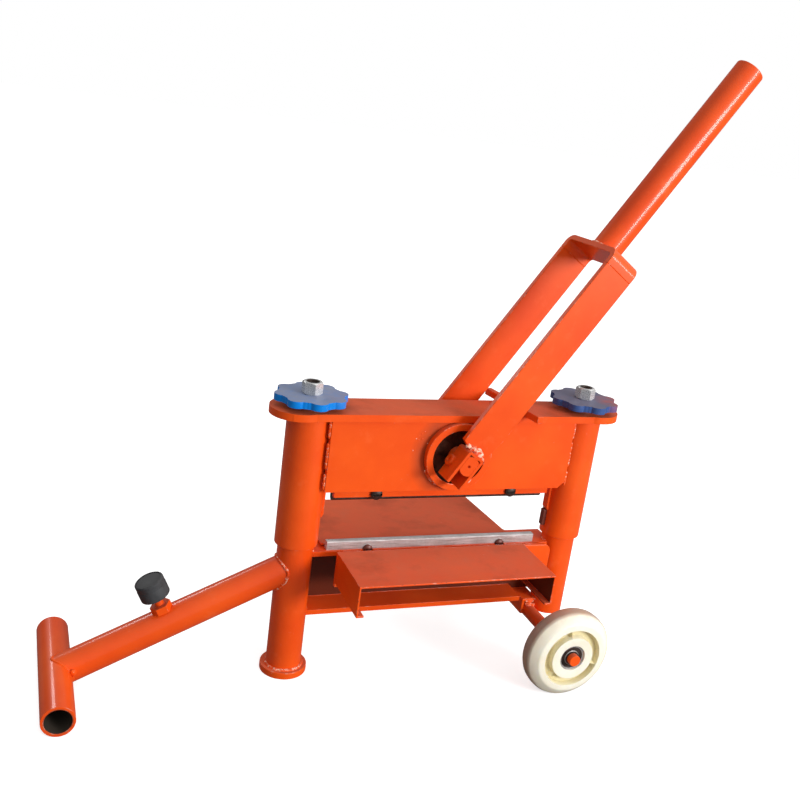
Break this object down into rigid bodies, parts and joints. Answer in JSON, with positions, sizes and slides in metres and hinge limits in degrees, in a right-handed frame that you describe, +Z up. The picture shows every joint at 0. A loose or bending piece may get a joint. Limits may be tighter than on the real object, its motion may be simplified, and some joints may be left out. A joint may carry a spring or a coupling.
{
  "type": "hand-lever block splitter",
  "caption": "Orange guillotine splitter for paving stones, with a forked cam lever, height-adjustable head, blades, tables, a leg tube and wheels.",
  "frame": {"origin": "centre of the underside of the left column's foot disc, on the floor", "axes": "+X along the blades towards the wheels, +Y towards the rear table, +Z up"},
  "size_m": [1.1165, 0.394, 1.0901],
  "materials": {
    "orange_paint": "gloss",
    "bare_steel": "satin",
    "black_steel": "matte",
    "zinc_plate": "satin",
    "blue_plastic": "gloss",
    "cream_nylon": "satin",
    "black_rubber": "matte",
    "bronze_bush": "satin"
  },
  "bodies": {
    "base": {"foot_disc": "orange_paint", "column_left": "orange_paint", "column_right": "orange_paint", "column_nut_left": "bare_steel", "column_nut_right": "bare_steel", "leg_tube": "orange_paint", "foot_tube": "orange_paint", "buffer_pad": "black_rubber", "buffer_stud": "orange_paint", "beam": "orange_paint", "cheek_plate": "orange_paint", "cheek_spacers": "orange_paint", "front_table": "orange_paint", "rear_table": "orange_paint", "rear_table_ribs": "orange_paint", "lower_blade": "bare_steel", "lower_blade_bolts": "black_steel", "axle_bracket": "orange_paint", "axle": "orange_paint", "bearing_inner_rings": "bare_steel", "axle_clips": "black_steel"},
    "head": {"deck_plate": "orange_paint", "sleeve_left": "orange_paint", "sleeve_right": "orange_paint", "side_plate_front": "orange_paint", "side_plate_rear": "orange_paint", "bearing_ring_front": "orange_paint", "bearing_ring_rear": "orange_paint", "bush_front": "bronze_bush", "bush_rear": "bronze_bush", "guide_left": "orange_paint", "guide_right": "orange_paint", "guide_stop": "black_steel", "rest_bar": "orange_paint", "thrust_washers": "bare_steel", "return_springs": "bare_steel"},
    "blade_carrier": {"blade_holder": "orange_paint", "upper_blade": "black_steel", "upper_blade_bolts": "black_steel", "cam_pad": "bare_steel"},
    "lever": {"cam_shaft": "bare_steel", "cam": "bare_steel", "fork_front": "orange_paint", "fork_rear": "orange_paint", "fork_bolts": "orange_paint", "arm_front": "orange_paint", "arm_rear": "orange_paint", "bridge": "orange_paint", "handle_tube": "orange_paint"},
    "adjuster_left": {"lead_screw_left": "zinc_plate", "handwheel_left": "blue_plastic", "handwheel_nut_left": "zinc_plate"},
    "adjuster_right": {"lead_screw_right": "zinc_plate", "handwheel_right": "blue_plastic", "handwheel_nut_right": "zinc_plate"},
    "wheel_front_assembly": {"wheel_front": "cream_nylon", "bearing_outer_front": "black_steel"},
    "wheel_rear_assembly": {"wheel_rear": "cream_nylon", "bearing_outer_rear": "black_steel"}
  },
  "joints": [
    {"name": "head_height", "type": "slide", "parent": "base", "child": "head", "axis": [0, 0, 1], "range_m": [0, 0.09]},
    {"name": "lever_swing", "type": "hinge", "parent": "head", "child": "lever", "pos_m": [0.25, 0, 0.404], "axis": [0, 1, 0], "range_deg": [-145, 1]},
    {"name": "blade_stroke", "type": "slide", "parent": "head", "child": "blade_carrier", "axis": [0, 0, -1], "range_m": [-0.0002, 0.0132], "deforming": ["return_springs"]},
    {"name": "adjuster_left_turn", "type": "hinge", "parent": "head", "child": "adjuster_left", "pos_m": [0, 0, 0.475], "axis": [0, 0, 1], "range_deg": [-10, 6500]},
    {"name": "adjuster_right_turn", "type": "hinge", "parent": "head", "child": "adjuster_right", "pos_m": [0.5, 0, 0.475], "axis": [0, 0, 1], "range_deg": [-10, 6500]},
    {"name": "wheel_front_spin", "type": "hinge", "parent": "base", "child": "wheel_front_assembly", "pos_m": [0.463, -0.147, 0.08], "axis": [0, 1, 0], "continuous": true},
    {"name": "wheel_rear_spin", "type": "hinge", "parent": "base", "child": "wheel_rear_assembly", "pos_m": [0.463, 0.179, 0.08], "axis": [0, 1, 0], "continuous": true}
  ],
  "couplings": [
    {"joint": "blade_stroke", "follows": "lever_swing", "m_per_rad": -0.005137},
    {"joint": "adjuster_left_turn", "follows": "head_height", "rad_per_m": 1256.6},
    {"joint": "adjuster_right_turn", "follows": "head_height", "rad_per_m": 1256.6}
  ]
}
